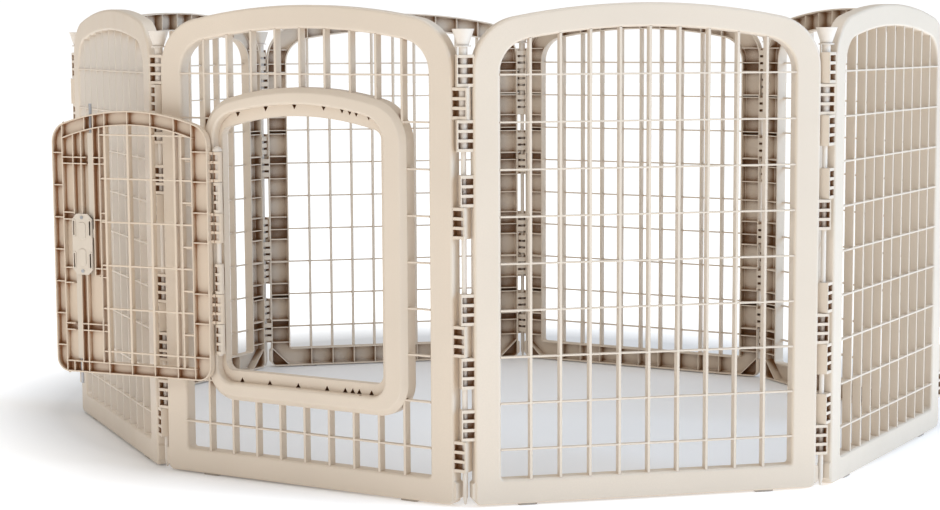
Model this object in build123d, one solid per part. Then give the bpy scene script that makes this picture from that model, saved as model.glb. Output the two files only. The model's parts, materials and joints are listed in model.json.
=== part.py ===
"""Eight-panel plastic pet playpen: a closed ring of moulded panels joined by hinge rods.

One panel carries a proud arched surround with a swinging door and a two-bolt latch.
Every panel is first built in its own frame: X runs along the panel from its start rod
to its end rod, Y points into the pen and Z is up.  The rods' axes are at Y = 0.
"""
from build123d import *
from math import atan2, cos, degrees, radians, sin, sqrt
import os

# ---- Ring ---------------------------------------------------------------------------
HINGE_PITCH = 655.0                      # from one hinge rod's axis to the next
EXTERIOR_ANGLES = (42.3, 47.2, 54.5, 36.0)    # turn at four rods; the other four repeat them
DOOR_PANEL_HEADING = -19.8               # direction of the door panel, from +X

# ---- Panel --------------------------------------------------------------------------
EDGE_GAP = 14.3                          # rod axis to the panel's side edge
FRONT = -15.5                            # outer face
BACK = 9.5                               # open inner side
PANEL_BOTTOM = 3.0
PANEL_TOP = 869.5
CROWN_RADIUS = 1235.0
CORNER_RADIUS = 92.0
FOOT_CORNER_RADIUS = 12.0
WALL = 3.0
EDGE_ROUND = 5.0
FLARE = 4.3                              # the foot of each side edge is this much wider
FLARE_TOP = 46.0

WINDOW_LEFT = 61.2
WINDOW_BOTTOM = 47.4
WINDOW_TOP = 828.0
WINDOW_CROWN = 1190.0
WINDOW_CORNER = 58.0
WINDOW_FOOT = 6.0

BAR_COUNT = 9
BAR_WIDTH = 4.5
BAR_DEPTH = 16.0
GRID_FRONT = FRONT + 1.0
ROW_COUNT = 9
ROW_FIRST = 99.5
ROW_PITCH = 81.0
ROW_HEIGHT = 3.0
ROW_DEPTH = 8.0
RIB = 2.2
RIB_BACK = BACK - 1.5

# ---- Panel hinges -------------------------------------------------------------------
GROUP_HEIGHT = 54.4                      # one group of knuckle straps
GROUP_GAP = 0.8                          # running gap between groups of two panels
STRAP_COUNT = 4
STRAP_HEIGHT = 5.4
HALF_WEB = 0.8                           # front and rear windows stop this far from mid-depth
END_WALL = 2.2                           # wall at a group's outer end
START_GROUP_TOPS = (781.8, 671.4, 577.2, 373.0, 262.6, 171.8)
END_GROUP_TOPS = (726.6, 522.0, 317.8, 116.6)
THICK_ZONE_BOTTOM = 617.0                # groups above this hold the rod's thick part
THICK_REACH = 13.5
THIN_REACH = 8.0
KNUCKLE_FRONT = FRONT + 3.0
KNUCKLE_BACK = BACK + 2.0
ROD_THICK_RADIUS = 7.6
ROD_THIN_RADIUS = 4.6
BORE_CLEARANCE = 0.35
ROD_TIP = 4.0
ROD_TIP_RADIUS = 1.6
ROD_TIP_LENGTH = 14.0
COLLAR_BOTTOM = 795.0
COLLAR_THICKNESS = 2.4
COLLAR_RADIUS = 13.8
FUNNEL_BASE_RADIUS = 9.8
FUNNEL_TOP_RADIUS = 19.3
FUNNEL_TOP = 825.5
FUNNEL_WALL = 2.0
FUNNEL_FLOOR = 806.0

# ---- Feet ---------------------------------------------------------------------------
FOOT_LENGTH = 34.0
FOOT_WIDTH = 17.0
FOOT_FROM_ROD = 110.0

# ---- Door surround, in the door panel's frame ------------------------------------------
SURROUND_LEFT = 115.0
SURROUND_RIGHT = 550.0
SURROUND_BOTTOM = 148.5
SURROUND_TOP = 724.3
SURROUND_CROWN = 650.0
SURROUND_CORNER = 78.0
SURROUND_FOOT = 59.0
SURROUND_PROUD = 10.0                    # height of its face above the panel's face
SURROUND_SLOPE = 9.5                     # width of its sloping outer side
SURROUND_ROUND = 5.0
SURROUND_WALL = 3.6                      # thickness of its face
OPENING_LEFT = 141.0
OPENING_RIGHT = 506.0
OPENING_BOTTOM = 181.5
OPENING_TOP = 694.0
OPENING_CROWN = 618.0
OPENING_CORNER = 48.0
OPENING_FOOT = 30.0
LEDGE_LEFT = 149.0                       # inner edge of the stop for the closed door
LEDGE_RIGHT = 493.0
LEDGE_BOTTOM = 202.0
LEDGE_TOP = 672.5
LEDGE_CROWN = 600.0
LEDGE_CORNER = 17.0
LEDGE_FRONT = -7.0
NOTCH_WIDTH = 10.0                       # triangular recesses where the ledge meets the jamb
NOTCH_HEIGHT = 9.0
NOTCH_DEPTH = 11.0
NOTCH_WALL = 2.0
NOTCH_PLACES = (185.0, 247.0, 310.0, 373.0, 412.0, 428.0, 442.0, 468.0)

# ---- Door; every distance marked "from hinge" is along the closed leaf from its axis -----
DOOR_AXIS_X = 151.5
DOOR_AXIS_Y = FRONT - 11.0
DOOR_OPEN_ANGLE = 174.0
DOOR_NEAR = 11.3                         # near edge, from hinge
DOOR_FAR = 351.0                         # free edge, from hinge
DOOR_BOTTOM = 184.0
DOOR_TOP = 679.0
DOOR_CROWN = 455.0
DOOR_CORNER = 40.0
DOOR_FOOT = 27.0
DOOR_FRONT = DOOR_AXIS_Y + 2.5           # outer face, just behind the hinge axis
DOOR_DEPTH = 15.0
DOOR_SKIN = 2.6
DOOR_EDGE_ROUND = 2.0
TOP_RIM = 27.0                           # hollow rim above the window
BOTTOM_RIM = 22.0
HINGE_WALL = 45.2                        # wall beside the hinge channel, from hinge
STUB_BAR = 68.0                          # extra bar that the stub ribs meet, from hinge
DOOR_BARS = (82.5, 132.8, 183.1, 233.4)  # from hinge
STRIP_WALL = 245.3                       # wall between the window and the latch strip
RIM_WALL = 328.7                         # wall beside the free edge's channel
DOOR_BAR_DEPTH = 12.0
DOOR_ROW_FIRST = 227.0
DOOR_ROW_PITCH = 81.4
DOOR_ROW_COUNT = 6
EDGE_RIB_FIRST = 234.6                   # ribs in the free edge's channel
EDGE_RIB_PITCH = 60.8
EDGE_RIB_COUNT = 7
UPPER_WALLS = (286.7, 304.7)             # walls above the latch cover, from hinge
GUIDE_WALL = 260.0                       # wall that guides the upper bolt
GUIDE_BOTTOM = 370.0
LOWER_WALLS = (279.2, 292.5)             # walls below the latch cover
CROSS_RIBS = (                           # level, then near and far ends from hinge
    (591.3, 276.5, RIM_WALL), (579.5, 276.5, RIM_WALL), (591.3, DOOR_BARS[-1], GUIDE_WALL),
    (579.5, DOOR_BARS[-1], GUIDE_WALL), (487.5, 304.7, RIM_WALL), (474.5, 308.0, RIM_WALL),
    (487.5, DOOR_BARS[-1], STRIP_WALL), (474.5, DOOR_BARS[-1], GUIDE_WALL),
    (382.8, 308.6, RIM_WALL), (382.8, DOOR_BARS[-1], GUIDE_WALL), (354.1, 308.6, RIM_WALL),
    (366.6, DOOR_BARS[-1], 254.0), (276.9, 308.6, RIM_WALL), (264.7, 308.6, RIM_WALL),
    (276.9, DOOR_BARS[-1], 292.5), (264.7, DOOR_BARS[-1], 292.5))
TOP_RIM_RIBS = (259.0, 278.3)            # beside the upper bolt's pin, from hinge
BOTTOM_RIM_RIBS = (279.2, 294.5, 312.2)
EAR_THICKNESS = 3.0                      # ears that lap over the surround at the free corners
EAR_GAP = 0.5

DOOR_GROUP_HEIGHT = 55.0
DOOR_GROUP_TOPS = (606.0, 494.4, 345.2)
SURROUND_GROUP_TOPS = (550.2, 401.0, 289.4)
BARREL_RADIUS = 8.4
DOOR_ROD_RADIUS = 4.4
DOOR_ROD_BOTTOM = 231.0
DOOR_ROD_CAP_RADIUS = 9.3
DOOR_ROD_CAP_BOTTOM = 607.0

# ---- Latch --------------------------------------------------------------------------
LATCH_CENTRE_Z = 428.0
UPPER_BOLT_X = 268.5                     # from the door's hinge axis
LOWER_BOLT_X = 300.7
BOLT_PIN_RADIUS = 2.8
PIN_CLEARANCE = 0.4
BOLT_TRAVEL = 24.0
UPPER_PIN_END = 691.5
LOWER_PIN_END = 162.0
UPPER_BAR = (457.0, 637.0)
LOWER_BAR = (209.5, 399.0)
BOLT_WIDTH = 13.0
BOLT_THICKNESS = 4.5
BOLT_GAP = 1.2
COVER_CENTRE = 286.2                     # from the door's hinge axis
COVER_WIDTH = 44.0
COVER_HEIGHT = 115.0
COVER_CHAMFER = 10.0
COVER_THICKNESS = 2.6
COVER_SLOT_OFFSET = 17.8
COVER_SLOT_RISE = 30.5
COVER_SLOT_WIDTH = 3.6
COVER_SLOT_HEIGHT = 27.0
COVER_PAD_WIDTH = 16.0
COVER_PAD_HEIGHT = 33.0
COVER_PAD_RISE = 25.0
CLIP_LENGTH = 9.0
CLIP_WIDTH = 2.4
PLATE_CENTRE = 284.6                     # from the door's hinge axis
PLATE_WIDTH = 50.0
PLATE_HEIGHT = 150.0
PLATE_THICKNESS = 2.4
KNOB_WIDTH = 34.0
KNOB_HEIGHT = 24.0
KNOB_DEPTH = 9.0
KNOB_OFFSET = 40.0                       # knob's rest height above or below the latch's centre
STEM_WIDTH = 6.0
STEM_HEIGHT = 10.0
STEM_OFFSET = 2.5                        # from the bolt's line towards the middle of the plate
SLOT_CLEARANCE = 0.5
SCREW_RADIUS = 3.2

DOOR_BACK = DOOR_FRONT + DOOR_DEPTH
WINDOW_RIGHT = HINGE_PITCH - WINDOW_LEFT
BAR_PITCH = (WINDOW_RIGHT - WINDOW_LEFT) / (BAR_COUNT + 1)
THICK_BORE = ROD_THICK_RADIUS + BORE_CLEARANCE
THIN_BORE = ROD_THIN_RADIUS + BORE_CLEARANCE


# ---- Outlines in the X-Z plane --------------------------------------------------------
def arched_face(left, right, bottom, crest, crown, corner, foot):
    """Flat shape with straight sides, a crowned top and four rounded corners."""
    half = (right - left) / 2
    middle = (left + right) / 2
    crown_z = crest - crown
    corner_z = crown_z + sqrt((crown - corner) ** 2 - (half - corner) ** 2)
    slope = degrees(atan2(corner_z - crown_z, half - corner))
    edges = [
        Line((left + foot, bottom), (right - foot, bottom)),
        CenterArc((right - foot, bottom + foot), foot, -90, 90),
        Line((right, bottom + foot), (right, corner_z)),
        CenterArc((right - corner, corner_z), corner, 0, slope),
        CenterArc((middle, crown_z), crown, slope, 180 - 2 * slope),
        CenterArc((left + corner, corner_z), corner, 180 - slope, slope),
        Line((left, corner_z), (left, bottom + foot)),
        CenterArc((left + foot, bottom + foot), foot, 180, 90),
    ]
    return make_face(edges)


def panel_outline(inset=0.0):
    """Outer shape of a panel, or the same shape moved in by a wall."""
    return arched_face(
        EDGE_GAP + inset, HINGE_PITCH - EDGE_GAP - inset, PANEL_BOTTOM + inset,
        PANEL_TOP - inset, CROWN_RADIUS - inset, CORNER_RADIUS - inset,
        FOOT_CORNER_RADIUS - inset)


def window_outline(outset=0.0):
    """Shape of the barred window, or the same shape grown by a wall."""
    return arched_face(
        WINDOW_LEFT - outset, WINDOW_RIGHT + outset, WINDOW_BOTTOM - outset,
        WINDOW_TOP + outset, WINDOW_CROWN + outset, WINDOW_CORNER + outset,
        WINDOW_FOOT + outset)


def surround_outline(inset=0.0):
    """Outer shape of the door surround at the panel's face."""
    return arched_face(
        SURROUND_LEFT + inset, SURROUND_RIGHT - inset, SURROUND_BOTTOM + inset,
        SURROUND_TOP - inset, SURROUND_CROWN - inset, SURROUND_CORNER - inset,
        SURROUND_FOOT - inset)


def opening_outline(inset=0.0):
    """Shape of the doorway at the surround's face, or the same shape moved by a wall."""
    return arched_face(
        OPENING_LEFT + inset, OPENING_RIGHT - inset, OPENING_BOTTOM + inset,
        OPENING_TOP - inset, OPENING_CROWN - inset, OPENING_CORNER - inset,
        OPENING_FOOT - inset)


def ledge_outline(inset=0.0):
    """Clear shape inside the door's stop, or the same shape moved by a wall."""
    return arched_face(
        LEDGE_LEFT + inset, LEDGE_RIGHT - inset, LEDGE_BOTTOM + inset,
        LEDGE_TOP - inset, LEDGE_CROWN - inset, LEDGE_CORNER - inset,
        LEDGE_CORNER - inset)


def door_outline(inset=0.0):
    """Outer shape of the closed door leaf."""
    return arched_face(
        DOOR_AXIS_X + DOOR_NEAR + inset, DOOR_AXIS_X + DOOR_FAR - inset,
        DOOR_BOTTOM + inset, DOOR_TOP - inset, DOOR_CROWN - inset,
        DOOR_CORNER - inset, DOOR_FOOT - inset)


def strip(left, right, bottom, top):
    """Upright rectangle in the X-Z plane."""
    return Pos((left + right) / 2, (bottom + top) / 2) * Rectangle(right - left, top - bottom)


def slab(sketch, front, back):
    """Solid between two depths from a shape drawn in the X-Z plane."""
    return extrude(Plane.XZ.offset(-back) * sketch, amount=back - front)


def block(left, right, front, back, bottom, top):
    """Rectangular solid from its six limits."""
    centre = Pos((left + right) / 2, (front + back) / 2, (bottom + top) / 2)
    return centre * Box(right - left, back - front, top - bottom)


def upright(radius, bottom, top, x=0.0, y=0.0):
    """Vertical round solid."""
    return Pos(x, y, bottom) * extrude(Circle(radius), amount=top - bottom)


def front_edges(solid, depth):
    """Edges of a solid that lie at one depth."""
    return solid.edges().filter_by_position(Axis.Y, depth - 0.01, depth + 0.01)


# ---- Panel frame and grid -------------------------------------------------------------
def hollow_frame(outline, pocket, front, back, skin):
    """Tray-shaped frame: a rounded front with walls behind it, open at the back."""
    body = slab(outline, front, back)
    body = fillet(front_edges(body, front), EDGE_ROUND)
    cavity = slab(pocket, front + skin, back + 1)
    cavity = chamfer(front_edges(cavity, front + skin), EDGE_ROUND - WALL)
    return body - cavity


def bar_positions():
    """X of every upright bar in the window."""
    return [WINDOW_LEFT + BAR_PITCH * (k + 1) for k in range(BAR_COUNT)]


def row_heights():
    """Z of every level bar in the window."""
    return [ROW_FIRST + ROW_PITCH * k for k in range(ROW_COUNT)]


def frame_ribs(pocket):
    """Stiffening ribs inside the hollow frame."""
    ribs = Sketch()
    levels = row_heights()
    for top in START_GROUP_TOPS + END_GROUP_TOPS:
        levels += [top, top - GROUP_HEIGHT]
    for level in levels:
        ribs += strip(0, WINDOW_LEFT + 1, level - RIB / 2, level + RIB / 2)
        ribs += strip(WINDOW_RIGHT - 1, HINGE_PITCH, level - RIB / 2, level + RIB / 2)
    for x in bar_positions():
        ribs += strip(x - RIB / 2, x + RIB / 2, 0, WINDOW_BOTTOM + 1)
        ribs += strip(x - RIB / 2, x + RIB / 2, WINDOW_TOP - 30, PANEL_TOP)
    for x, turn in ((WINDOW_LEFT / 2 + 8, 45), (HINGE_PITCH - WINDOW_LEFT / 2 - 8, -45)):
        ribs += Pos(x, WINDOW_BOTTOM / 2 + 2) * Rot(0, 0, turn) * Rectangle(RIB, 90)
    return slab(ribs & pocket, FRONT + WALL - 0.5, RIB_BACK)


def grid_bars(area):
    """Upright and level bars, kept to one area."""
    uprights = Sketch()
    for x in bar_positions():
        uprights += strip(x - BAR_WIDTH / 2, x + BAR_WIDTH / 2, WINDOW_BOTTOM - 1, WINDOW_TOP + 1)
    levels = Sketch()
    for z in row_heights():
        levels += strip(WINDOW_LEFT - 1, WINDOW_RIGHT + 1, z - ROW_HEIGHT / 2, z + ROW_HEIGHT / 2)
    bars = slab(uprights & area, GRID_FRONT, GRID_FRONT + BAR_DEPTH)
    return bars + slab(levels & area, GRID_FRONT, GRID_FRONT + ROW_DEPTH)


# ---- Panel hinge knuckles -------------------------------------------------------------
def knuckle_profile(reach):
    """Plan shape of one group: square outside, rounded towards the pen."""
    outer = Pos((EDGE_GAP + WALL - reach) / 2, (KNUCKLE_FRONT + KNUCKLE_BACK) / 2)
    block_face = outer * Rectangle(EDGE_GAP + WALL + reach, KNUCKLE_BACK - KNUCKLE_FRONT)
    inside_corner = Pos(-THICK_REACH, THICK_REACH) * Rectangle(2 * THICK_REACH, 2 * THICK_REACH)
    return block_face - (inside_corner - Circle(THICK_REACH))


def strap_levels(bottom, height):
    """Lowest point of every strap in a group."""
    step = (height - STRAP_HEIGHT) / (STRAP_COUNT - 1)
    return [bottom + step * k for k in range(STRAP_COUNT)]


def start_group(top):
    """One knuckle group on a panel's start edge."""
    bottom = top - GROUP_HEIGHT
    thick = bottom >= THICK_ZONE_BOTTOM - 1
    reach = THICK_REACH if thick else THIN_REACH
    bore = THICK_BORE if thick else THIN_BORE
    body = Pos(0, 0, bottom) * extrude(knuckle_profile(reach), amount=GROUP_HEIGHT)
    levels = strap_levels(bottom, GROUP_HEIGHT)
    seat = thick and bottom < THICK_ZONE_BOTTOM + 1
    bore_bottom = bottom + STRAP_HEIGHT if seat else bottom - 1
    body -= upright(bore, bore_bottom, top + 1)
    if seat:
        body -= upright(THIN_BORE, bottom - 1, top)
    outer = END_WALL - reach
    for low, high in zip(levels, levels[1:]):
        body -= block(outer, EDGE_GAP, KNUCKLE_FRONT - 1, -HALF_WEB, low + STRAP_HEIGHT, high)
    for level in levels[1:] if seat else levels:
        body -= block(outer, EDGE_GAP, HALF_WEB, KNUCKLE_BACK + 1, level, level + STRAP_HEIGHT)
    return body


def end_group(top):
    """The same group turned round for a panel's end edge."""
    return mirror(start_group(top), about=Plane.YZ.offset(HINGE_PITCH / 2))


def edge_flares():
    """Wider foot at the bottom of both side edges."""
    corner = PANEL_BOTTOM + FOOT_CORNER_RADIUS
    shape = Polygon(
        (EDGE_GAP - FLARE, corner), (EDGE_GAP + 1, corner - 4), (EDGE_GAP + 1, FLARE_TOP),
        (EDGE_GAP - FLARE, FLARE_TOP - FLARE), align=None)
    left = slab(shape, FRONT + 2, BACK)
    return left + mirror(left, about=Plane.YZ.offset(HINGE_PITCH / 2))


def panel_shell():
    """Frame, ribs and hinge knuckles that all eight panels share."""
    outline = panel_outline() - window_outline()
    pocket = panel_outline(WALL) - window_outline(WALL)
    shell = hollow_frame(outline, pocket, FRONT, BACK, WALL)
    knuckles = [start_group(top) for top in START_GROUP_TOPS]
    knuckles += [end_group(top) for top in END_GROUP_TOPS]
    shell += [frame_ribs(pocket), edge_flares()] + knuckles
    for x in (0, HINGE_PITCH):
        shell -= upright(THICK_BORE, THICK_ZONE_BOTTOM + STRAP_HEIGHT, PANEL_TOP, x)
    return shell


def plain_panel():
    """Panel with its window full of bars."""
    return panel_shell() + grid_bars(window_outline(1.0))


# ---- Rods and feet --------------------------------------------------------------------
def hinge_rod():
    """Stepped rod with a collar and a funnel-shaped head, on the Z axis."""
    shoulder = THICK_ZONE_BOTTOM + STRAP_HEIGHT
    collar_top = COLLAR_BOTTOM + COLLAR_THICKNESS
    inner_top = FUNNEL_TOP_RADIUS - FUNNEL_WALL
    profile = Polygon(
        (0, ROD_TIP), (ROD_TIP_RADIUS, ROD_TIP), (ROD_THIN_RADIUS, ROD_TIP + ROD_TIP_LENGTH),
        (ROD_THIN_RADIUS, shoulder), (ROD_THICK_RADIUS, shoulder),
        (ROD_THICK_RADIUS, COLLAR_BOTTOM), (COLLAR_RADIUS, COLLAR_BOTTOM),
        (COLLAR_RADIUS, collar_top), (FUNNEL_BASE_RADIUS, collar_top),
        (FUNNEL_TOP_RADIUS, FUNNEL_TOP), (inner_top, FUNNEL_TOP),
        (ROD_THICK_RADIUS, FUNNEL_FLOOR), (0, FUNNEL_FLOOR), align=None)
    return revolve(Plane.XZ * profile, Axis.Z)


def feet():
    """Two non-slip pads under one panel."""
    pads = []
    for x in (FOOT_FROM_ROD, HINGE_PITCH - FOOT_FROM_ROD):
        pad = RectangleRounded(FOOT_LENGTH, FOOT_WIDTH, FOOT_WIDTH / 3)
        pads.append(Pos(x, (FRONT + BACK) / 2, 0) * extrude(pad, amount=PANEL_BOTTOM))
    return Compound(children=pads)


# ---- Door hinge -----------------------------------------------------------------------
def barrel_group(top, web_left, web_right, web_front, web_back, open_side):
    """One barrel group of the door hinge on its web, with windows open to one side."""
    bottom = top - DOOR_GROUP_HEIGHT
    body = upright(BARREL_RADIUS, bottom, top, DOOR_AXIS_X, DOOR_AXIS_Y)
    body += block(web_left, web_right, web_front, web_back, bottom, top)
    bore = DOOR_ROD_RADIUS + BORE_CLEARANCE
    body -= upright(bore, bottom - 1, top + 1, DOOR_AXIS_X, DOOR_AXIS_Y)
    levels = strap_levels(bottom, DOOR_GROUP_HEIGHT)
    reach = BARREL_RADIUS + 1
    cut_from = min(DOOR_AXIS_Y, DOOR_AXIS_Y + open_side * reach)
    for low, high in zip(levels, levels[1:]):
        gap = (low + STRAP_HEIGHT, high)
        body -= block(
            DOOR_AXIS_X - bore, DOOR_AXIS_X + bore, cut_from, cut_from + reach, *gap)
        body -= block(
            min(web_left, web_right - reach), max(web_right, web_left + reach),
            DOOR_AXIS_Y, DOOR_AXIS_Y + reach, *gap)
    return body


def surround_barrels():
    """Barrel groups that belong to the surround."""
    face = FRONT - SURROUND_PROUD
    edge = DOOR_AXIS_X - DOOR_ROD_RADIUS - 1
    return [
        barrel_group(top, OPENING_LEFT - 2, edge, face + 0.5, face + 6, -1)
        for top in SURROUND_GROUP_TOPS]


def door_barrels():
    """Barrel groups that belong to the door leaf."""
    edge = DOOR_AXIS_X + DOOR_ROD_RADIUS + 1
    far = DOOR_AXIS_X + DOOR_NEAR + 2
    return [
        barrel_group(top, edge, far, DOOR_FRONT, DOOR_FRONT + 6, 1)
        for top in DOOR_GROUP_TOPS]


def door_hinge_rod():
    """Plain rod with a domed cap on which the door swings."""
    shaft = upright(DOOR_ROD_RADIUS, DOOR_ROD_BOTTOM, DOOR_ROD_CAP_BOTTOM, DOOR_AXIS_X, DOOR_AXIS_Y)
    dome = Pos(DOOR_AXIS_X, DOOR_AXIS_Y, DOOR_ROD_CAP_BOTTOM) * Sphere(DOOR_ROD_CAP_RADIUS)
    below = block(0, 2 * DOOR_AXIS_X, -100, 100, 0, DOOR_ROD_CAP_BOTTOM)
    return shaft + (dome - below)


# ---- Door panel -----------------------------------------------------------------------
def surround_frame():
    """Proud ring round the doorway: sloping side, face, jamb and the door's stop, hollow behind."""
    face = FRONT - SURROUND_PROUD
    slope = degrees(atan2(SURROUND_SLOPE, SURROUND_PROUD))
    base = Plane.XZ.offset(-FRONT)
    raised = extrude(base * surround_outline(), amount=SURROUND_PROUD, taper=slope)
    raised += slab(surround_outline(), FRONT, BACK)
    raised -= slab(opening_outline(), face - 5, LEDGE_FRONT)
    raised = fillet(front_edges(raised, face), SURROUND_ROUND)
    raised -= slab(ledge_outline(), LEDGE_FRONT - 5, BACK + 5)
    channel = surround_outline(WALL) - opening_outline(-WALL)
    hollow = slab(channel, FRONT, BACK + 1)
    depth = SURROUND_PROUD - SURROUND_WALL
    lip = surround_outline(WALL + SURROUND_SLOPE * depth / SURROUND_PROUD) - opening_outline(-WALL)
    hollow += slab(lip, FRONT - depth, FRONT)
    step = opening_outline(-WALL) - ledge_outline(-WALL)
    hollow += slab(step, LEDGE_FRONT + WALL, BACK + 1)
    return raised - hollow


def surround_ribs():
    """Ribs between the surround's outer wall and the wall round the doorway."""
    ribs = Sketch()
    level = SURROUND_BOTTOM + SURROUND_FOOT
    while level < SURROUND_TOP - SURROUND_CORNER:
        ribs += strip(SURROUND_LEFT, LEDGE_LEFT, level, level + RIB)
        ribs += strip(LEDGE_RIGHT, SURROUND_RIGHT, level, level + RIB)
        level += ROW_PITCH / 2
    for x in bar_positions()[1:-1]:
        ribs += strip(x - RIB / 2, x + RIB / 2, SURROUND_BOTTOM, LEDGE_BOTTOM)
        ribs += strip(x - RIB / 2, x + RIB / 2, LEDGE_TOP - 20, SURROUND_TOP)
    area = surround_outline(WALL - 0.5) - ledge_outline(-WALL + 0.5)
    return slab(ribs & area, LEDGE_FRONT + WALL - 0.5, RIB_BACK)


def opening_edge(x):
    """Height of the doorway's arched top at one place."""
    middle = (OPENING_LEFT + OPENING_RIGHT) / 2
    return OPENING_TOP - OPENING_CROWN + sqrt(OPENING_CROWN ** 2 - (x - middle) ** 2)


def notch_triangles(grow=0.0):
    """Small triangles along the top and the bottom of the doorway, each pointing inwards."""
    half = NOTCH_WIDTH / 2 + grow
    tall = NOTCH_HEIGHT + 2 * grow
    shape = Sketch()
    for x in NOTCH_PLACES:
        low, high = OPENING_BOTTOM - grow, opening_edge(x) + grow
        shape += Polygon((x - half, low), (x + half, low), (x, low + tall), align=None)
        shape += Polygon((x + half, high), (x - half, high), (x, high - tall), align=None)
    return shape


def notch_cups():
    """Closed backs of the triangular recesses."""
    return slab(notch_triangles(NOTCH_WALL), LEDGE_FRONT + WALL - 0.5, LEDGE_FRONT + NOTCH_DEPTH)


def notches():
    """The triangular recesses themselves."""
    return slab(notch_triangles(), LEDGE_FRONT - 0.5, LEDGE_FRONT + NOTCH_DEPTH - NOTCH_WALL)


def pin_holes():
    """Holes in the wall round the doorway that take the two bolts."""
    radius = BOLT_PIN_RADIUS + PIN_CLEARANCE
    upper_x, lower_x = DOOR_AXIS_X + UPPER_BOLT_X, DOOR_AXIS_X + LOWER_BOLT_X
    top = opening_edge(upper_x)
    upper = upright(radius, top - WALL, top + 2 * WALL, upper_x, bolt_depth())
    lower = upright(
        radius, OPENING_BOTTOM - 2 * WALL, OPENING_BOTTOM + WALL, lower_x, bolt_depth())
    return [upper, lower]


def door_panel():
    """Panel with the doorway, its surround and the fixed half of the door hinge."""
    grid = grid_bars(window_outline(1.0) - surround_outline(1.0))
    surround = surround_frame() + [surround_ribs(), notch_cups()] - notches()
    surround += surround_barrels()
    return panel_shell() + grid + (surround - pin_holes())


# ---- Door leaf ------------------------------------------------------------------------
def bolt_depth():
    """Depth of the bolts' centre line, just behind the leaf's skin."""
    return DOOR_FRONT + DOOR_SKIN + BOLT_GAP + BOLT_THICKNESS / 2


def leaf_strip(near, far, bottom, top):
    """Upright rectangle measured from the door's hinge axis."""
    return strip(DOOR_AXIS_X + near, DOOR_AXIS_X + far, bottom, top)


def leaf_post(place, bottom=0.0, top=PANEL_TOP, width=RIB):
    """Narrow upright rectangle centred on one distance from the door's hinge axis."""
    return leaf_strip(place - width / 2, place + width / 2, bottom, top)


def leaf_level(near, far, level, width=RIB):
    """Narrow level rectangle centred on one height."""
    return leaf_strip(near, far, level - width / 2, level + width / 2)


def door_field(outset=0.0):
    """Area inside the leaf's hollow rims, or the same area grown by a wall."""
    low, high = DOOR_BOTTOM + BOTTOM_RIM - outset, DOOR_TOP - TOP_RIM + outset
    shape = arched_face(
        DOOR_AXIS_X + DOOR_NEAR, DOOR_AXIS_X + DOOR_FAR, low, high,
        DOOR_CROWN - TOP_RIM + outset, DOOR_CORNER - TOP_RIM + outset, 1.0)
    return shape & leaf_strip(HINGE_WALL - RIB, RIM_WALL + RIB, 0, PANEL_TOP)


def door_window(outset=0.0):
    """Barred part of the leaf, or the same shape grown by a wall."""
    near, far = HINGE_WALL + RIB / 2 - outset, STRIP_WALL - RIB / 2 + outset
    return door_field(outset) & leaf_strip(near, far, 0, PANEL_TOP)


def rim_ribs():
    """Ribs across the hollow rims and the two side channels."""
    low, high = DOOR_BOTTOM + BOTTOM_RIM - 1, DOOR_TOP - TOP_RIM - 40
    ribs = leaf_post(HINGE_WALL) + leaf_post(RIM_WALL)
    for place in DOOR_BARS + BOTTOM_RIM_RIBS:
        ribs += leaf_post(place, 0, low)
    above = rim_area_above()
    for place in DOOR_BARS + TOP_RIM_RIBS:
        ribs += leaf_post(place, high) & above
    for k in range(EDGE_RIB_COUNT):
        ribs += leaf_level(RIM_WALL, DOOR_FAR, EDGE_RIB_FIRST + EDGE_RIB_PITCH * k)
    ribs += leaf_level(0, HINGE_WALL, DOOR_ROW_FIRST)
    for top in DOOR_GROUP_TOPS:
        ribs += leaf_level(0, HINGE_WALL, top) + leaf_level(0, HINGE_WALL, top - DOOR_GROUP_HEIGHT)
    return ribs


def rim_area_above():
    """Area of the leaf above the barred window and the latch strip."""
    return leaf_strip(0, DOOR_FAR, DOOR_TOP - TOP_RIM - 60, PANEL_TOP) - door_field(1.0)


def strip_ribs():
    """Walls and cross ribs of the latch strip."""
    middle_low = LATCH_CENTRE_Z - COVER_HEIGHT / 2 + 1
    middle_high = LATCH_CENTRE_Z + COVER_HEIGHT / 2 - 1
    ribs = leaf_post(GUIDE_WALL, GUIDE_BOTTOM)
    for place in UPPER_WALLS:
        ribs += leaf_post(place, middle_high)
    for place in LOWER_WALLS:
        ribs += leaf_post(place, 0, middle_low)
    for level, near, far in CROSS_RIBS:
        if far > STRIP_WALL:
            ribs += leaf_level(max(near, STRIP_WALL), far, level)
    return ribs & (door_field() & leaf_strip(STRIP_WALL, RIM_WALL, 0, PANEL_TOP))


def door_grid():
    """Bars of the leaf's window."""
    uprights = leaf_post(STUB_BAR, width=ROW_HEIGHT)
    for place in DOOR_BARS:
        uprights += leaf_post(place, width=BAR_WIDTH)
    levels = Sketch()
    for k in range(DOOR_ROW_COUNT):
        level = DOOR_ROW_FIRST + DOOR_ROW_PITCH * k
        levels += leaf_level(HINGE_WALL, STRIP_WALL, level, ROW_HEIGHT)
        if k + 1 < DOOR_ROW_COUNT:
            stub = level + DOOR_ROW_PITCH / 2
            levels += leaf_level(HINGE_WALL, STUB_BAR, stub, ROW_HEIGHT)
    for level, near, _ in CROSS_RIBS:
        if near < STRIP_WALL:
            levels += leaf_level(near, STRIP_WALL, level)
    area = door_window(1.0)
    back = DOOR_BACK - 1
    return [
        slab(uprights & area, back - DOOR_BAR_DEPTH, back),
        slab(levels & area, back - DOOR_BAR_DEPTH / 2, back - 0.5)]


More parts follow.
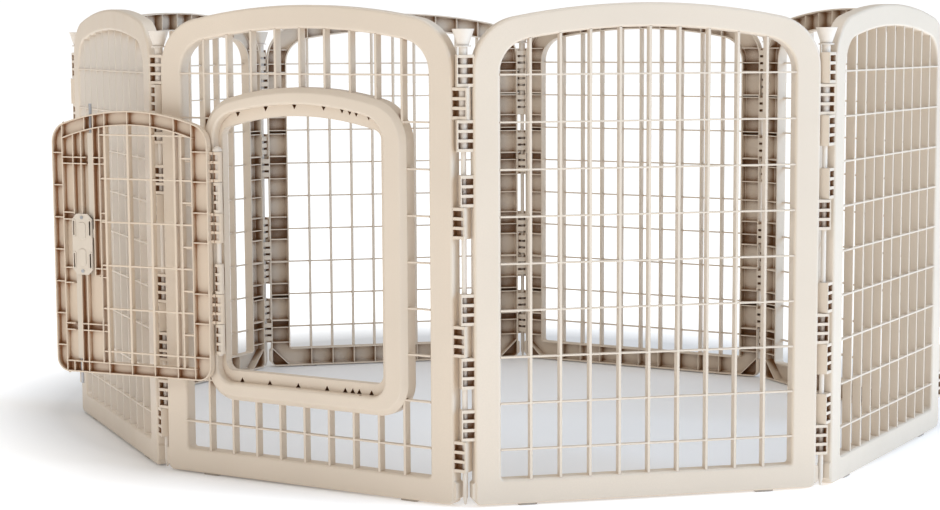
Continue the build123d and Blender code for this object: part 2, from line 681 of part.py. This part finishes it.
def corner_ears():
    """Ears at the two free corners that lap over the surround and stop the leaf."""
    upper = Polygon(
        (DOOR_FAR - 28, 636), (DOOR_FAR - 17, 630), (DOOR_FAR - 6, 648), (DOOR_FAR - 15, 657),
        align=None)
    lower = Polygon(
        (DOOR_FAR - 28, 203), (DOOR_FAR - 23, 184), (DOOR_FAR - 15, 178), (DOOR_FAR - 7, 185),
        (DOOR_FAR - 15, 203), align=None)
    shape = Pos(DOOR_AXIS_X, 0) * (upper + lower)
    back = FRONT - SURROUND_PROUD - EAR_GAP
    ears = slab(shape, back - EAR_THICKNESS, back)
    return ears + slab(shape & door_outline(4.0), back - EAR_THICKNESS, DOOR_FRONT + 1)


def cover_clips():
    """Four hooks that hold the latch cover by its cut corners."""
    clips = []
    reach = CLIP_WIDTH / 2 + 0.4
    for side in (1, -1):
        for rise in (1, -1):
            x = DOOR_AXIS_X + COVER_CENTRE + side * (COVER_WIDTH / 2 - COVER_CHAMFER / 2 + reach * 0.7)
            z = LATCH_CENTRE_Z + rise * (COVER_HEIGHT / 2 - COVER_CHAMFER / 2 + reach * 0.7)
            shape = Pos(x, z) * Rot(0, 0, -45 * side * rise) * Rectangle(CLIP_LENGTH, CLIP_WIDTH)
            clips.append(slab(shape, DOOR_BACK - 5, DOOR_BACK + 2.5))
    return clips


def stem_slots():
    """Slots in the leaf's skin for the stems of the two finger slides."""
    slots = []
    for side in (1, -1):
        low, high = stem_range(side)
        half = STEM_WIDTH / 2 + SLOT_CLEARANCE
        x = stem_x(side)
        slots.append(block(x - half, x + half, DOOR_FRONT - 1, DOOR_FRONT + DOOR_SKIN + 1, low, high))
    return slots


def door_leaf():
    """Closed door leaf with its window bars, latch strip and barrels."""
    pocket = door_outline(DOOR_SKIN) - door_window(RIB)
    body = slab(door_outline(), DOOR_FRONT, DOOR_BACK)
    body = fillet(front_edges(body, DOOR_FRONT), DOOR_EDGE_ROUND)
    body -= slab(door_window(), DOOR_FRONT - 1, DOOR_BACK + 1)
    body -= slab(pocket, DOOR_FRONT + DOOR_SKIN, DOOR_BACK + 1)
    field_wall = door_field(RIB) - door_field()
    ribs = (field_wall + rim_ribs() + strip_ribs()) & pocket
    body += slab(ribs, DOOR_FRONT + DOOR_SKIN - 0.5, DOOR_BACK - 1)
    body += door_grid()
    body += door_barrels()
    body += corner_ears()
    pin = BOLT_PIN_RADIUS + PIN_CLEARANCE
    rim_top, rim_low = UPPER_BAR[1] - 3, LOWER_BAR[0] + 3
    body -= upright(pin, rim_top, PANEL_TOP, DOOR_AXIS_X + UPPER_BOLT_X, bolt_depth())
    body -= upright(pin, 0, rim_low, DOOR_AXIS_X + LOWER_BOLT_X, bolt_depth())
    return body - stem_slots()


# ---- Latch pieces ---------------------------------------------------------------------
def bolt_x(side):
    """X of the upper (side 1) or lower (side -1) bolt's line."""
    return DOOR_AXIS_X + (UPPER_BOLT_X if side > 0 else LOWER_BOLT_X)


def stem_x(side):
    """X of a finger slide's stem."""
    return bolt_x(side) + side * STEM_OFFSET


def stem_range(side):
    """Lowest and highest reach of the slot for a stem."""
    rest = LATCH_CENTRE_Z + side * KNOB_OFFSET
    inner = rest - side * BOLT_TRAVEL
    margin = STEM_HEIGHT / 2 + SLOT_CLEARANCE
    return min(rest, inner) - margin, max(rest, inner) + margin


def bolt_bar(side):
    """Flat sliding bar behind the leaf's skin."""
    x = bolt_x(side)
    low, high = UPPER_BAR if side > 0 else LOWER_BAR
    front = bolt_depth() - BOLT_THICKNESS / 2
    return block(x - BOLT_WIDTH / 2, x + BOLT_WIDTH / 2, front, front + BOLT_THICKNESS, low, high)


def bolt_pin(side):
    """Round end of a bolt that enters the surround."""
    low, high = (UPPER_BAR[1], UPPER_PIN_END) if side > 0 else (LOWER_PIN_END, LOWER_BAR[0])
    return upright(BOLT_PIN_RADIUS, low, high, bolt_x(side), bolt_depth())


def latch_knob(side):
    """Finger slide on the outer face, with the stem that drives its bolt."""
    x = DOOR_AXIS_X + PLATE_CENTRE
    z = LATCH_CENTRE_Z + side * KNOB_OFFSET
    base = DOOR_FRONT - PLATE_THICKNESS - SLOT_CLEARANCE
    cap = block(
        x - KNOB_WIDTH / 2, x + KNOB_WIDTH / 2, base - KNOB_DEPTH, base,
        z - KNOB_HEIGHT / 2, z + KNOB_HEIGHT / 2)
    cap = fillet(front_edges(cap, base - KNOB_DEPTH), 2.5)
    middle = stem_x(side)
    stem = block(
        middle - STEM_WIDTH / 2, middle + STEM_WIDTH / 2, base - 1,
        bolt_depth() - BOLT_THICKNESS / 2, z - STEM_HEIGHT / 2, z + STEM_HEIGHT / 2)
    return cap + stem


def escutcheon():
    """Plate on the outer face in which the two finger slides run."""
    shape = Pos(DOOR_AXIS_X + PLATE_CENTRE, LATCH_CENTRE_Z) * RectangleRounded(
        PLATE_WIDTH, PLATE_HEIGHT, 10)
    for side in (1, -1):
        low, high = stem_range(side)
        half = STEM_WIDTH / 2 + SLOT_CLEARANCE
        shape -= strip(stem_x(side) - half, stem_x(side) + half, low, high)
    return slab(shape, DOOR_FRONT - PLATE_THICKNESS, DOOR_FRONT)


def latch_cover():
    """Inner cover over the two bolts, with cut corners, four slots and two raised pads."""
    middle = DOOR_AXIS_X + COVER_CENTRE
    shape = Pos(middle, LATCH_CENTRE_Z) * Rectangle(COVER_WIDTH, COVER_HEIGHT)
    shape = chamfer(shape.vertices(), COVER_CHAMFER)
    rims, slots = Sketch(), Sketch()
    for side in (1, -1):
        for rise in (1, -1):
            place = Pos(middle + side * COVER_SLOT_OFFSET, LATCH_CENTRE_Z + rise * COVER_SLOT_RISE)
            slots += place * RectangleRounded(COVER_SLOT_WIDTH, COVER_SLOT_HEIGHT, 1.5)
            rims += place * RectangleRounded(COVER_SLOT_WIDTH + 4, COVER_SLOT_HEIGHT + 6, 3)
    face = DOOR_BACK - 1 + COVER_THICKNESS
    plate = slab(shape, DOOR_BACK - 1, face) + slab(rims, face - 1, face + 1)
    plate -= slab(slots, DOOR_BACK - 5, face + 5)
    for rise in (1, -1):
        place = Pos(middle, LATCH_CENTRE_Z + rise * COVER_PAD_RISE)
        pad = slab(
            place * RectangleRounded(COVER_PAD_WIDTH, COVER_PAD_HEIGHT, 6), face - 1, face + 1.6)
        plate += chamfer(front_edges(pad, face + 1.6), 0.8)
    return plate


def cover_screws():
    """Two screws that hold the inner cover."""
    screws = []
    for side in (1, -1):
        x = DOOR_AXIS_X + COVER_CENTRE
        z = LATCH_CENTRE_Z + side * (COVER_HEIGHT / 2 - 7)
        face = DOOR_BACK - 1 + COVER_THICKNESS
        head = slab(Pos(x, z) * Circle(SCREW_RADIUS), face, face + 1.4)
        screws.append(head - slab(Pos(x, z) * Rectangle(4, 0.9), face + 0.8, face + 2))
    return Compound(children=screws)


# ---- Assembly -------------------------------------------------------------------------
def ring_places():
    """Place of every panel in the ring, the door panel first."""
    turns = list(EXTERIOR_ANGLES[:3]) + [180.0 - sum(EXTERIOR_ANGLES[:3])]
    turns = turns * 2
    heading = DOOR_PANEL_HEADING
    x = -HINGE_PITCH * cos(radians(heading))
    y = -HINGE_PITCH * sin(radians(heading))
    places = []
    for turn in turns:
        places.append(Pos(x, y, 0) * Rot(0, 0, heading))
        x += HINGE_PITCH * cos(radians(heading))
        y += HINGE_PITCH * sin(radians(heading))
        heading += turn
    return places


def swing_open(piece):
    """Turn a piece of the closed door outwards about its hinge rod."""
    axis = Pos(DOOR_AXIS_X, DOOR_AXIS_Y, 0)
    return axis * Rot(0, 0, -DOOR_OPEN_ANGLE) * axis.inverse() * piece


def build():
    """Every node of the assembly by name."""
    places = ring_places()
    plain = plain_panel()
    rod = hinge_rod()
    pads = feet()
    nodes = {"door_panel": places[0] * door_panel()}
    for k, place in enumerate(places[1:], start=1):
        nodes[f"panel_{k}"] = place * plain
        nodes[f"hinge_rod_{k}"] = place * rod
        nodes[f"feet_{k}"] = place * pads
    nodes["hinge_rod_8"] = places[0] * rod
    nodes["feet_8"] = places[0] * pads
    nodes["door_hinge_rod"] = places[0] * door_hinge_rod()
    door_pieces = {
        "door_leaf": door_leaf(),
        "latch_escutcheon": escutcheon(),
        "latch_cover": latch_cover(),
        "latch_cover_screws": cover_screws(),
        "latch_knob_upper": latch_knob(1),
        "latch_knob_lower": latch_knob(-1),
        "bolt_bar_upper": bolt_bar(1),
        "bolt_bar_lower": bolt_bar(-1),
        "bolt_pin_upper": bolt_pin(1),
        "bolt_pin_lower": bolt_pin(-1),
    }
    for name, piece in door_pieces.items():
        nodes[name] = places[0] * swing_open(piece)
    return nodes


def write_parts(nodes):
    """Write one STEP file per node, with the origin under the middle of the whole object."""
    os.makedirs("parts", exist_ok=True)
    boxes = [piece.bounding_box() for piece in nodes.values()]
    low = [min(getattr(box.min, axis) for box in boxes) for axis in "XYZ"]
    high = [max(getattr(box.max, axis) for box in boxes) for axis in "XYZ"]
    shift = Pos(-(low[0] + high[0]) / 2, -(low[1] + high[1]) / 2, -low[2])
    for name, piece in nodes.items():
        export_step(shift * piece, f"parts/{name}.step")
    print("size", [round(b - a, 3) for a, b in zip(low, high)])
    print("shift", shift.position)


write_parts(build())
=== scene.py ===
"""Looks for the eight-panel pet playpen: camera, studio and materials."""
import json
import math

import bpy
from mathutils import Matrix, Vector


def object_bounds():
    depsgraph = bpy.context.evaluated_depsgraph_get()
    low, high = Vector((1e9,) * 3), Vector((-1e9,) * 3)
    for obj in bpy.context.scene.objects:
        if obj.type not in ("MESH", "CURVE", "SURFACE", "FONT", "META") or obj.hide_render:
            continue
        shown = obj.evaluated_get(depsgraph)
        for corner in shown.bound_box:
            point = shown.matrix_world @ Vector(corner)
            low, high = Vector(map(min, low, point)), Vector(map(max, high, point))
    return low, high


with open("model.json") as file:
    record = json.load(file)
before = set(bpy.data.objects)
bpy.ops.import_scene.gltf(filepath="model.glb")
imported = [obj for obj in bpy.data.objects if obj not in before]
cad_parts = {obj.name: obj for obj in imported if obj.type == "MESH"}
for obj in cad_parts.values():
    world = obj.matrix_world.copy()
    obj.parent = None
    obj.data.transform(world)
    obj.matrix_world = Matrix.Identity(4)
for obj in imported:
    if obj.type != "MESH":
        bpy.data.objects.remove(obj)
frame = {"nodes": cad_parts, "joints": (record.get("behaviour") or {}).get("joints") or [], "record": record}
cad_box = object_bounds()

# ---- Camera and studio ----------------------------------------------------------------
LENS_MM = 76.74
SENSOR_MM = 36.0
# From the rod between the door panel and its right neighbour.
CAMERA_FROM_CORNER = (0.6233, -3.3564)
CAMERA_HEIGHT = 0.8127
CAMERA_YAW = math.radians(10.35)         # to the left of +Y
CAMERA_PITCH = math.radians(6.23)        # below level
CAMERA_ROLL = math.radians(0.29)

FLOOR_SPAN = 60.0
FLOOR_TONES = ((0.86, 0.86, 0.865, 1), (0.89, 0.89, 0.89, 1))
# Painted shadow on the floor: the floor glows less near the pen and more further out.
PAINTED_SHADOW_GLOW = 0.04                        # floor glow inside the painted soft shadow round the pen
FAR_GLOW = 0.85                          # lifts the floor to white beyond it
PAINTED_SHADOW_RADII = (0.92, 1.30)                # where the painted shadow starts and stops fading
PAINTED_SHADOW_CENTRE = (-0.10, 0.25)

WORLD_SEEN = 1.05
WORLD_SHED = 0.33

# Name, place, aim, size in metres, watts, colour.
LIGHTS = (
    ("front", (-1.5, -5.5, 3.5), (0.0, -0.2, 0.4), (2.5, 2.5), 58, (1.0, 0.98, 0.96)),
    ("left", (-5.0, -3.4, 3.2), (-0.6, -0.5, 0.4), (2.0, 2.0), 14, (1.0, 0.93, 0.82)),
    ("right", (6.0, -1.6, 2.6), (0.3, 0.0, 0.4), (3.0, 3.0), 215, (0.52, 0.77, 1.10)),
    ("top", (0.0, 0.2, 5.0), (0.0, 0.0, 0.0), (5.0, 5.0), 105, (1.0, 1.0, 1.0)),
)

# ---- Colours (linear) -----------------------------------------------------------------
# Each *_LIGHT is the plastic's own colour; the darker colour beside it is painted shade laid into hollows.
PANEL_LIGHT = (0.715, 0.605, 0.485, 1)
PANEL_PAINTED_SHADE = (0.27, 0.125, 0.045, 1)
DOOR_LIGHT = (0.715, 0.585, 0.45, 1)
DOOR_PAINTED_SHADE = (0.33, 0.15, 0.06, 1)
ROD_LIGHT = (0.74, 0.66, 0.57, 1)
ROD_PAINTED_SHADE = (0.24, 0.12, 0.05, 1)
LATCH_LIGHT = (0.66, 0.57, 0.465, 1)
LATCH_PAINTED_SHADE = (0.05, 0.025, 0.012, 1)
PAD_LIGHT = (0.42, 0.36, 0.30, 1)
PAD_PAINTED_SHADE = (0.20, 0.15, 0.11, 1)
STEEL_LIGHT = (0.50, 0.50, 0.51, 1)
STEEL_DEEP = (0.30, 0.29, 0.29, 1)

# ---- Surface detail (metres, or marks per metre) --------------------------------------
EDGE_RADIUS = 0.0009
PAINTED_SHADE_OPENNESS = (0.30, 0.48)           # occlusion at full painted shade, and at the full light colour
DRIFT_SCALE = 3.5
SPECKLE_SCALE = 420.0
SHEEN_SCALE = 26.0
RIPPLE_SCALE = 14.0
RIPPLE_DEPTH = 0.0012
GRAIN_SCALE = 1500.0
GRAIN_DEPTH = 0.00012
PLASTIC_IOR = 1.48
STREAK_SCALE = (900.0, 900.0, 30.0)


def joint(name):
    """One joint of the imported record."""
    return next(j for j in frame["joints"] if j["name"] == name)


# ---- Materials ------------------------------------------------------------------------
class Tree:
    """Short hand for building one node tree."""

    def __init__(self, name):
        self.material = bpy.data.materials.new(name)
        self.material.use_nodes = True
        self.tree = self.material.node_tree
        self.shader = self.tree.nodes["Principled BSDF"]

    def node(self, kind, **values):
        made = self.tree.nodes.new(kind)
        for key, value in values.items():
            setattr(made, key, value)
        return made

    def link(self, source, target):
        self.tree.links.new(source, target)

    def noise(self, scale, detail=2.0, roughness=0.5):
        made = self.node("ShaderNodeTexNoise")
        made.inputs["Scale"].default_value = scale
        made.inputs["Detail"].default_value = detail
        made.inputs["Roughness"].default_value = roughness
        self.link(self.place, made.inputs["Vector"])
        return made.outputs["Fac"]

    def spread(self, source, low, high, to_low=0.0, to_high=1.0):
        made = self.node("ShaderNodeMapRange")
        made.inputs["From Min"].default_value = low
        made.inputs["From Max"].default_value = high
        made.inputs["To Min"].default_value = to_low
        made.inputs["To Max"].default_value = to_high
        self.link(source, made.inputs["Value"])
        return made.outputs["Result"]

    def mix(self, factor, first, second):
        made = self.node("ShaderNodeMix", data_type="RGBA")
        sockets = (made.inputs[0], made.inputs[6], made.inputs[7])
        for value, socket in zip((factor, first, second), sockets):
            if isinstance(value, (tuple, float)):
                socket.default_value = value
            else:
                self.link(value, socket)
        return made.outputs[2]

    def bump(self, height, distance, strength, normal=None):
        made = self.node("ShaderNodeBump")
        made.inputs["Distance"].default_value = distance
        made.inputs["Strength"].default_value = strength
        self.link(height, made.inputs["Height"])
        if normal is not None:
            self.link(normal, made.inputs["Normal"])
        return made.outputs["Normal"]


def shade(colour, amount):
    """The same colour, darker or lighter."""
    return tuple(min(1.0, c * amount) for c in colour[:3]) + (1,)


def moulded(name, light, dark_streak_and_painted_shade, roughness=0.42, grain=1.0, painted_shade_reach=0.04, only_local=True):
    """Satin moulded plastic: fine grain, faint flow marks, painted shade (darker colour) in hollows, soft
    edges.
    """
    t = Tree(name)
    t.place = t.node("ShaderNodeTexCoord").outputs["Object"]
    drift = t.spread(t.noise(DRIFT_SCALE, 3.0), 0.35, 0.65)
    body = t.mix(drift, shade(light, 0.965), shade(light, 1.03))
    speckle = t.spread(t.noise(SPECKLE_SCALE, 2.0), 0.4, 0.6)
    body = t.mix(t.spread(speckle, 0.0, 1.0, 0.0, 0.35), body, shade(light, 0.96))
    # Painted shade: occlusion darkens the colour in hollows and crevices, though the plastic is one colour.
    painted_shade_occlusion = t.node("ShaderNodeAmbientOcclusion", samples=16, only_local=only_local)
    painted_shade_occlusion.inputs["Distance"].default_value = painted_shade_reach
    painted_shade_mask = t.spread(painted_shade_occlusion.outputs["AO"], *PAINTED_SHADE_OPENNESS)
    colour = t.mix(painted_shade_mask, dark_streak_and_painted_shade, body)
    t.link(colour, t.shader.inputs["Base Color"])
    sheen = t.spread(t.noise(SHEEN_SCALE, 3.0), 0.3, 0.7, roughness - 0.05, roughness + 0.06)
    t.link(sheen, t.shader.inputs["Roughness"])
    rounded = t.node("ShaderNodeBevel", samples=4)
    rounded.inputs["Radius"].default_value = EDGE_RADIUS
    normal = t.bump(t.noise(RIPPLE_SCALE, 2.0), RIPPLE_DEPTH, 0.12, rounded.outputs["Normal"])
    normal = t.bump(t.noise(GRAIN_SCALE, 1.0), GRAIN_DEPTH, 0.35 * grain, normal)
    t.link(normal, t.shader.inputs["Normal"])
    t.shader.inputs["IOR"].default_value = PLASTIC_IOR
    return t.material


def metal(name, light, dark_streak_and_painted_shade):
    """Drawn steel with fine lengthwise marks."""
    t = Tree(name)
    t.place = t.node("ShaderNodeTexCoord").outputs["Object"]
    stretch = t.node("ShaderNodeMapping")
    stretch.inputs["Scale"].default_value = STREAK_SCALE
    t.link(t.place, stretch.inputs["Vector"])
    t.place = stretch.outputs["Vector"]
    streak = t.noise(1.0, 3.0)
    t.link(t.mix(t.spread(streak, 0.3, 0.7), dark_streak_and_painted_shade, light), t.shader.inputs["Base Color"])
    t.link(t.spread(streak, 0.3, 0.7, 0.28, 0.44), t.shader.inputs["Roughness"])
    t.link(t.bump(streak, 0.0001, 0.4), t.shader.inputs["Normal"])
    t.shader.inputs["Metallic"].default_value = 1.0
    return t.material


MATERIALS = {
    "panel_plastic": moulded("panel_plastic", PANEL_LIGHT, PANEL_PAINTED_SHADE),
    "door_plastic": moulded("door_plastic", DOOR_LIGHT, DOOR_PAINTED_SHADE),
    "rod_plastic": moulded("rod_plastic", ROD_LIGHT, ROD_PAINTED_SHADE, 0.36, 0.7),
    "door_rod_plastic": moulded("door_rod_plastic", ROD_LIGHT, ROD_PAINTED_SHADE, 0.36, 0.7),
    # The latch's painted shade also counts nearby parts, so the slots behind its cover go nearly black.
    "latch_plastic": moulded("latch_plastic", LATCH_LIGHT, LATCH_PAINTED_SHADE, 0.38, 0.8, 0.02, False),
    "foot_rubber": moulded("foot_rubber", PAD_LIGHT, PAD_PAINTED_SHADE, 0.75, 2.0, 0.01),
    "screw_steel": metal("screw_steel", STEEL_LIGHT, STEEL_DEEP),
    "bolt_pin_metal": metal("bolt_pin_metal", STEEL_LIGHT, STEEL_DEEP),
}
SLOT_OF = {entry["node"]: entry["material_slot"] for entry in frame["record"]["subparts"]}
for name, obj in frame["nodes"].items():
    obj.data.materials.clear()
    obj.data.materials.append(MATERIALS[SLOT_OF[name]])


# ---- Studio ---------------------------------------------------------------------------
def add_floor():
    """Pale floor under the feet, with a painted soft shadow: it glows less near the pen and turns white
    further out.
    """
    half = FLOOR_SPAN / 2
    mesh = bpy.data.meshes.new("floor")
    corners = [(-half, -half, 0), (half, -half, 0), (half, half, 0), (-half, half, 0)]
    mesh.from_pydata(corners, [], [(0, 1, 2, 3)])
    floor = bpy.data.objects.new("floor", mesh)
    bpy.context.collection.objects.link(floor)
    floor.location = (PAINTED_SHADOW_CENTRE[0], PAINTED_SHADOW_CENTRE[1], cad_box[0][2])
    t = Tree("floor")
    t.place = t.node("ShaderNodeTexCoord").outputs["Object"]
    tone = t.mix(t.spread(t.noise(1.2, 2.0), 0.3, 0.7), *FLOOR_TONES)
    t.link(tone, t.shader.inputs["Base Color"])
    t.shader.inputs["Roughness"].default_value = 0.55
    t.shader.inputs["Specular IOR Level"].default_value = 0.25
    t.shader.inputs["Emission Color"].default_value = (1, 1, 1, 1)
    # Painted shadow: emission grows with distance from the painted shadow centre.
    away = t.node("ShaderNodeVectorMath", operation="LENGTH")
    t.link(t.place, away.inputs[0])
    painted_shadow_glow = t.spread(away.outputs["Value"], *PAINTED_SHADOW_RADII, PAINTED_SHADOW_GLOW, FAR_GLOW)
    t.link(painted_shadow_glow, t.shader.inputs["Emission Strength"])
    mesh.materials.append(t.material)


def add_area(name, place, aim, size, watts, colour):
    """One soft box that points at a place."""
    light = bpy.data.lights.new(name, "AREA")
    light.shape = "RECTANGLE"
    light.size, light.size_y = size
    light.energy = watts
    light.color = colour
    lamp = bpy.data.objects.new(name, light)
    bpy.context.collection.objects.link(lamp)
    lamp.location = place
    lamp.rotation_euler = (Vector(aim) - Vector(place)).to_track_quat("-Z", "Y").to_euler()


def add_world(seen, shed):
    """White surroundings, with one strength as seen and another as light."""
    world = bpy.data.worlds.new("studio")
    world.use_nodes = True
    tree = world.node_tree
    tree.nodes["Background"].inputs["Color"].default_value = (1, 1, 1, 1)
    strength = tree.nodes.new("ShaderNodeMapRange")
    strength.inputs["To Min"].default_value = shed
    strength.inputs["To Max"].default_value = seen
    path = tree.nodes.new("ShaderNodeLightPath")
    tree.links.new(path.outputs["Is Camera Ray"], strength.inputs["Value"])
    tree.links.new(strength.outputs["Result"], tree.nodes["Background"].inputs["Strength"])
    bpy.context.scene.world = world


def add_camera():
    """Camera at eye level in front of the rod to the right of the door panel."""
    corner = joint("fold")["pos_m"]
    data = bpy.data.cameras.new("camera")
    data.lens = LENS_MM
    data.sensor_width = SENSOR_MM
    camera = bpy.data.objects.new("camera", data)
    bpy.context.collection.objects.link(camera)
    place = (corner[0] + CAMERA_FROM_CORNER[0], corner[1] + CAMERA_FROM_CORNER[1], CAMERA_HEIGHT)
    turn = Matrix.Rotation(CAMERA_YAW, 4, "Z") @ Matrix.Rotation(math.pi / 2 - CAMERA_PITCH, 4, "X")
    turn = turn @ Matrix.Rotation(-CAMERA_ROLL, 4, "Z")
    camera.matrix_world = Matrix.Translation(place) @ turn
    bpy.context.scene.camera = camera


add_floor()
add_world(WORLD_SEEN, WORLD_SHED)
for light in LIGHTS:
    add_area(*light)
add_camera()
bpy.context.scene.view_settings.view_transform = "Standard"
